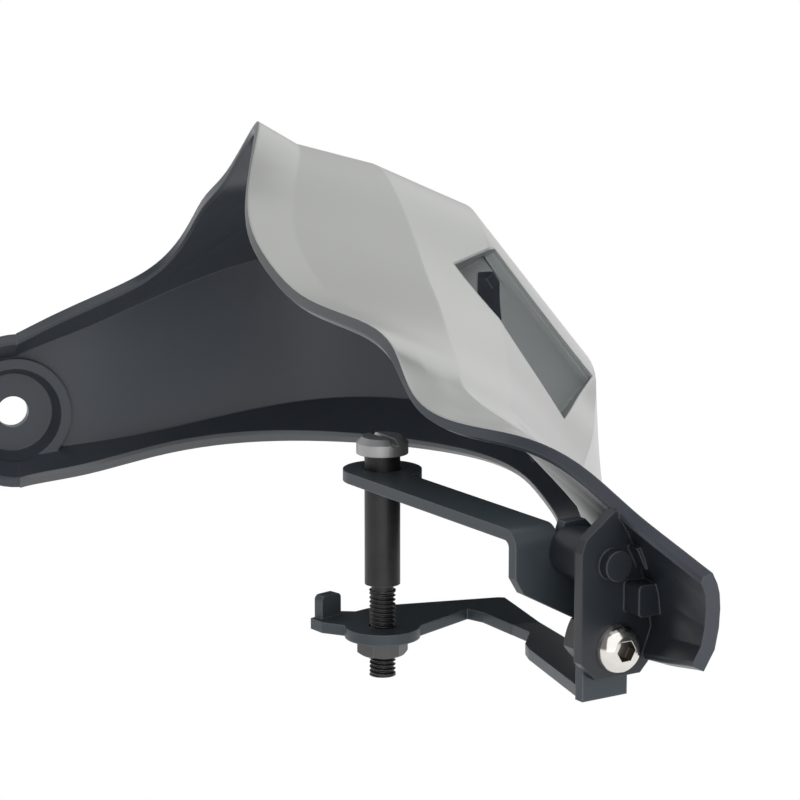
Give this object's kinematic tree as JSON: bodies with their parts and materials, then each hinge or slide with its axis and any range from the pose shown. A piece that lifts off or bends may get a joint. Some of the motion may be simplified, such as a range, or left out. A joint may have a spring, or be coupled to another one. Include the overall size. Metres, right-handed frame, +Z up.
{
  "type": "motorcycle hand guard",
  "caption": "Moulded left hand guard with hooded shell and recessed front panel, bar-end hole, and two plate brackets that hang it from a long lever pivot bolt.",
  "frame": {"origin": "centre of the bar-end hole, on the floor of its recess, which is the outer end of the grip", "axes": "+X inboard along the grip, +Y forward in the riding direction, +Z up along the lever pivot"},
  "size_m": [0.2595, 0.1528, 0.1166],
  "materials": {
    "shell": "moulded plastic, silver-grey satin paint on the outer face, bare black inside and on the rims",
    "bracket_plate": "blue-black coating, satin",
    "black_oxide": "black oxide, oiled, bright where edges have rubbed",
    "stainless": "polished stainless steel"
  },
  "bodies": {
    "root": {"guard_shell": "shell", "upper_bracket": "bracket_plate", "lower_bracket": "bracket_plate", "pivot_bolt": "black_oxide", "pivot_nut": "black_oxide", "bracket_bolt": "stainless", "bracket_washer": "black_oxide", "bracket_nut": "black_oxide", "upper_screw": "black_oxide"}
  },
  "joints": []
}
